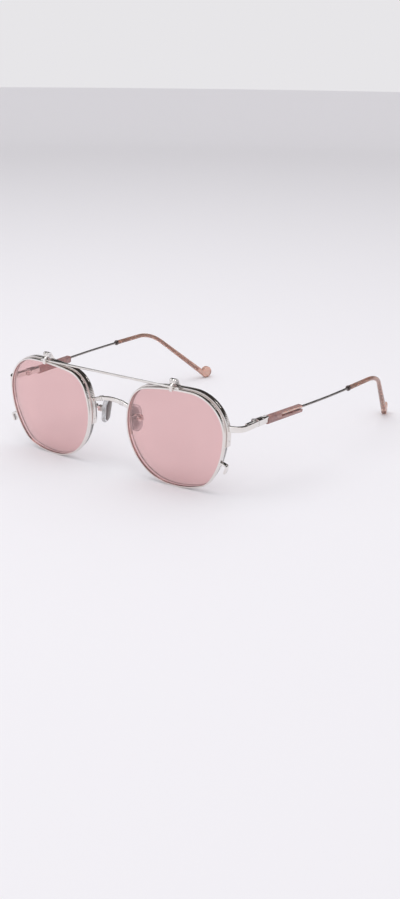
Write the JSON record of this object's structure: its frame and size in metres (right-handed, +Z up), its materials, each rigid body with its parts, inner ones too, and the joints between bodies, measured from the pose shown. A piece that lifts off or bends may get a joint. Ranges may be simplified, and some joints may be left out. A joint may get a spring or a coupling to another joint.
{
  "type": "half-rim spectacles with flip-up tinted lenses",
  "caption": "Half-rim metal spectacles with clear lenses and a hinged brow bar that flips two tinted lenses up, on folding wire temples with acetate tips.",
  "frame": {"origin": "on the ground, under the middle of the whole object with its temples open and its tinted lenses down", "axes": "+X to the wearer's left, +Y back along the temples, +Z up; the wearer looks along -Y"},
  "size_m": [0.147, 0.1644, 0.0505],
  "materials": {
    "silver": "polished nickel silver, palladium plated",
    "steel": "turned steel screws",
    "wire": "drawn temple wire",
    "dark_metal": "gunmetal plated ferrule",
    "tinted_lens": "dusty pink tinted lens",
    "clear_lens": "clear demonstration lens",
    "nylon": "clear nylon filament",
    "silicone": "clear soft silicone",
    "pink_acetate": "translucent dusty pink acetate, polished",
    "tip_acetate": "translucent peach brown acetate, polished"
  },
  "bodies": {
    "front": {"bridge": "silver", "left_half_rim": "silver", "left_clear_lens": "clear_lens", "left_nylon_cord": "nylon", "left_flip_post": "silver", "left_flip_screw": "steel", "left_pad_box": "silver", "left_pad_arm": "silver", "left_pad_screw": "steel", "left_end_piece": "silver", "left_front_hinge": "silver", "left_hinge_screw": "steel", "right_half_rim": "silver", "right_clear_lens": "clear_lens", "right_nylon_cord": "nylon", "right_flip_post": "silver", "right_flip_screw": "steel", "right_pad_box": "silver", "right_pad_arm": "silver", "right_pad_screw": "steel", "right_end_piece": "silver", "right_front_hinge": "silver", "right_hinge_screw": "steel"},
    "flip_front": {"brow_bar": "silver", "left_flip_rim": "silver", "left_tinted_lens": "tinted_lens", "left_flip_leaf": "silver", "left_lift_tab": "silver", "right_flip_rim": "silver", "right_tinted_lens": "tinted_lens", "right_flip_leaf": "silver", "right_lift_tab": "silver"},
    "left_temple": {"left_temple_hinge": "silver", "left_temple_socket": "silver", "left_temple_block": "pink_acetate", "left_temple_wire": "wire", "left_ferrule": "dark_metal", "left_temple_tip": "tip_acetate"},
    "left_pad": {"left_nose_pad": "silicone", "left_pad_lug": "steel"},
    "right_temple": {"right_temple_hinge": "silver", "right_temple_socket": "silver", "right_temple_block": "pink_acetate", "right_temple_wire": "wire", "right_ferrule": "dark_metal", "right_temple_tip": "tip_acetate"},
    "right_pad": {"right_nose_pad": "silicone", "right_pad_lug": "steel"}
  },
  "joints": [
    {"name": "flip_up", "type": "hinge", "parent": "front", "child": "flip_front", "pos_m": [0, -0.07902, 0.04907], "axis": [-1, 0, 0], "range_deg": [0, 168]},
    {"name": "left_temple_fold", "type": "hinge", "parent": "front", "child": "left_temple", "pos_m": [0.0665, -0.06032, 0.03152], "axis": [0, 0, 1], "range_deg": [0, 88]},
    {"name": "left_pad_rock", "type": "hinge", "parent": "front", "child": "left_pad", "pos_m": [0.01174, -0.07048, 0.02575], "axis": [0.2419, 0.9679, 0.0677], "range_deg": [-8, 8]},
    {"name": "right_temple_fold", "type": "hinge", "parent": "front", "child": "right_temple", "pos_m": [-0.0665, -0.06032, 0.03152], "axis": [0, 0, -1], "range_deg": [0, 73]},
    {"name": "right_pad_rock", "type": "hinge", "parent": "front", "child": "right_pad", "pos_m": [-0.01174, -0.07048, 0.02575], "axis": [-0.2419, 0.9679, 0.0677], "range_deg": [-8, 8]}
  ]
}
